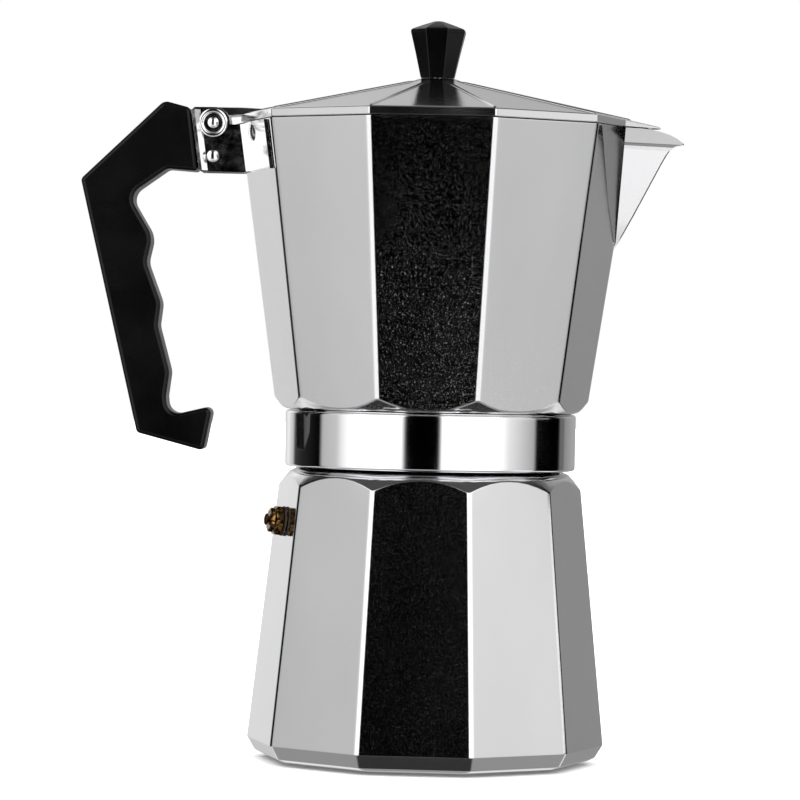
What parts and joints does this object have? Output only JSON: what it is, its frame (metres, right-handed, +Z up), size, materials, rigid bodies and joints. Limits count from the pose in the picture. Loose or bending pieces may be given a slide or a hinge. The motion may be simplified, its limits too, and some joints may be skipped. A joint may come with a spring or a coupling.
{
  "type": "moka pot",
  "caption": "Ten-sided stove-top coffee maker with screwed boiler and jug, pull-out funnel, hinged lid, black handle and knob, and a sprung brass safety valve.",
  "frame": {"origin": "middle of the flat base, on the pot's vertical axis", "axes": "+Z up along the pot's axis, +X towards the spout, -X towards the handle"},
  "size_m": [0.2005, 0.1248, 0.246],
  "materials": {
    "body_aluminium": "fine vertical satin brushing, polished on the collar",
    "lid_aluminium": "polished",
    "funnel_aluminium": "spun, semi-matt",
    "inner_steel": "plain bright",
    "bracket_steel": "polished",
    "black_plastic": "moulded, satin black",
    "valve_brass": "machined, slightly darkened",
    "seal_rubber": "matt off-white"
  },
  "bodies": {
    "boiler": {"boiler": "body_aluminium", "valve_body": "valve_brass", "valve_cap": "valve_brass", "valve_seal": "seal_rubber", "valve_spring": "inner_steel"},
    "valve_stem": {"valve_stem": "valve_brass"},
    "funnel": {"funnel": "funnel_aluminium", "funnel_filter_disc": "funnel_aluminium"},
    "gasket_set": {"gasket": "seal_rubber", "filter_plate": "inner_steel"},
    "upper": {"upper_chamber": "body_aluminium", "handle_bracket": "bracket_steel", "bracket_rivet_1": "bracket_steel", "bracket_rivet_2": "bracket_steel", "handle": "black_plastic", "handle_pin": "bracket_steel", "hinge_pin": "bracket_steel"},
    "lid": {"lid": "lid_aluminium", "knob": "black_plastic", "knob_washer": "inner_steel", "knob_screw": "inner_steel"}
  },
  "joints": [
    {"name": "funnel_lift", "type": "slide", "parent": "boiler", "child": "funnel", "axis": [0, 0, 1], "range_m": [0, 0.14]},
    {"name": "upper_rise", "type": "slide", "parent": "funnel", "child": "gasket_set", "axis": [0, 0, 1], "range_m": [0, 0.0071]},
    {"name": "upper_turn", "type": "hinge", "parent": "gasket_set", "child": "upper", "pos_m": [0, 0, 0.1], "axis": [0, 0, 1], "range_deg": [0, 630]},
    {"name": "lid_hinge", "type": "hinge", "parent": "upper", "child": "lid", "pos_m": [-0.0741, 0, 0.2106], "axis": [0, -1, 0], "range_deg": [0, 100]},
    {"name": "valve_lift", "type": "slide", "parent": "boiler", "child": "valve_stem", "axis": [-0.9563, -0.2742, 0.1012], "range_m": [0, 0.0015], "stiffness_N_per_m": 800, "springref_m": -0.002, "deforming": ["valve_spring"]}
  ],
  "couplings": [
    {"joint": "upper_rise", "follows": "upper_turn", "m_per_rad": 0.00063662}
  ]
}
